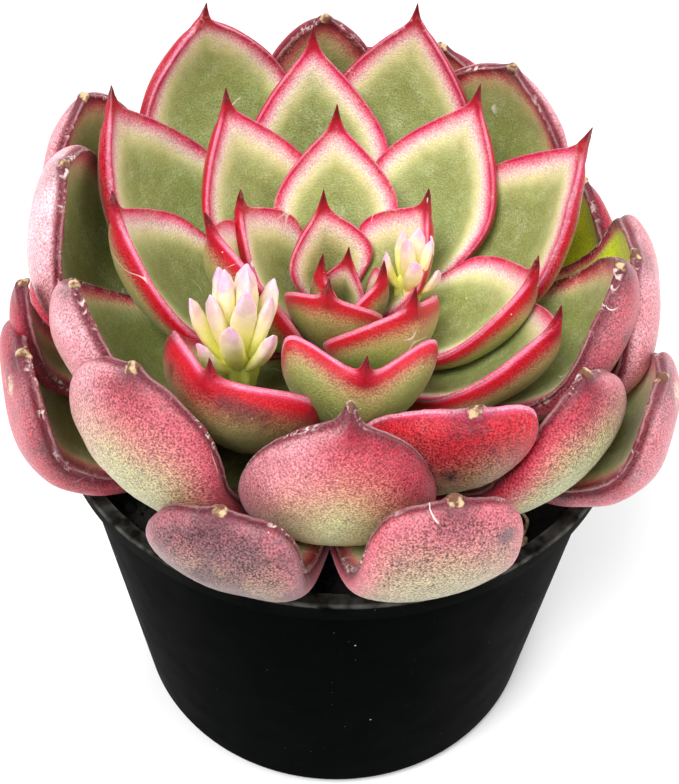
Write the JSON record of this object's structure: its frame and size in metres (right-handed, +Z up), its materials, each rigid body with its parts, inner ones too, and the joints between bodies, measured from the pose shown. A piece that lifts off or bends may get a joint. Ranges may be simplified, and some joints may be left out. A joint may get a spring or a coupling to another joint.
{
  "type": "potted succulent plant",
  "caption": "Small rosette succulent of thick, sharp-tipped green leaves with red edges, with pale flower buds near its heart, in a black tapered nursery pot.",
  "frame": {"origin": "centre of the pot's foot, on the face that it stands on", "axes": "+Z up out of the pot, -Y to the front of the rosette, +X to its right seen from the front"},
  "size_m": [0.0949, 0.1015, 0.1156],
  "materials": {
    "pot_plastic": "black satin moulded plastic with dust",
    "soil": "dark damp potting mix",
    "stem": "matt green-brown stem",
    "young_leaf": "waxy green skin, cream to crimson at the edges",
    "old_leaf": "waxy dusky red skin with powdery bloom, green at the base",
    "flower_bud": "pale yellow-green fleshy bracts with lilac tips",
    "dry_root": "dry fibrous root"
  },
  "bodies": {
    "root": {"pot": "pot_plastic", "soil": "soil", "stem": "stem", "leaf_01": "young_leaf", "leaf_02": "young_leaf", "leaf_03": "young_leaf", "leaf_04": "young_leaf", "leaf_05": "young_leaf", "leaf_06": "young_leaf", "leaf_07": "young_leaf", "leaf_08": "young_leaf", "leaf_09": "young_leaf", "leaf_10": "young_leaf", "leaf_11": "young_leaf", "leaf_12": "young_leaf", "leaf_13": "young_leaf", "leaf_14": "young_leaf", "leaf_15": "young_leaf", "leaf_16": "young_leaf", "leaf_17": "young_leaf", "leaf_18": "young_leaf", "leaf_19": "old_leaf", "leaf_20": "old_leaf", "leaf_21": "old_leaf", "leaf_22": "old_leaf", "leaf_23": "old_leaf", "leaf_24": "old_leaf", "leaf_25": "old_leaf", "leaf_26": "old_leaf", "leaf_27": "old_leaf", "leaf_28": "old_leaf", "leaf_29": "old_leaf", "leaf_30": "old_leaf", "leaf_31": "old_leaf", "leaf_32": "old_leaf", "leaf_33": "old_leaf", "leaf_34": "old_leaf", "leaf_35": "old_leaf", "leaf_36": "old_leaf", "leaf_37": "old_leaf", "leaf_38": "old_leaf", "leaf_39": "old_leaf", "leaf_40": "old_leaf", "leaf_41": "old_leaf", "leaf_43": "old_leaf", "leaf_44": "old_leaf", "flower_buds_left": "flower_bud", "flower_buds_right": "flower_bud", "dry_root": "dry_root"}
  },
  "joints": []
}
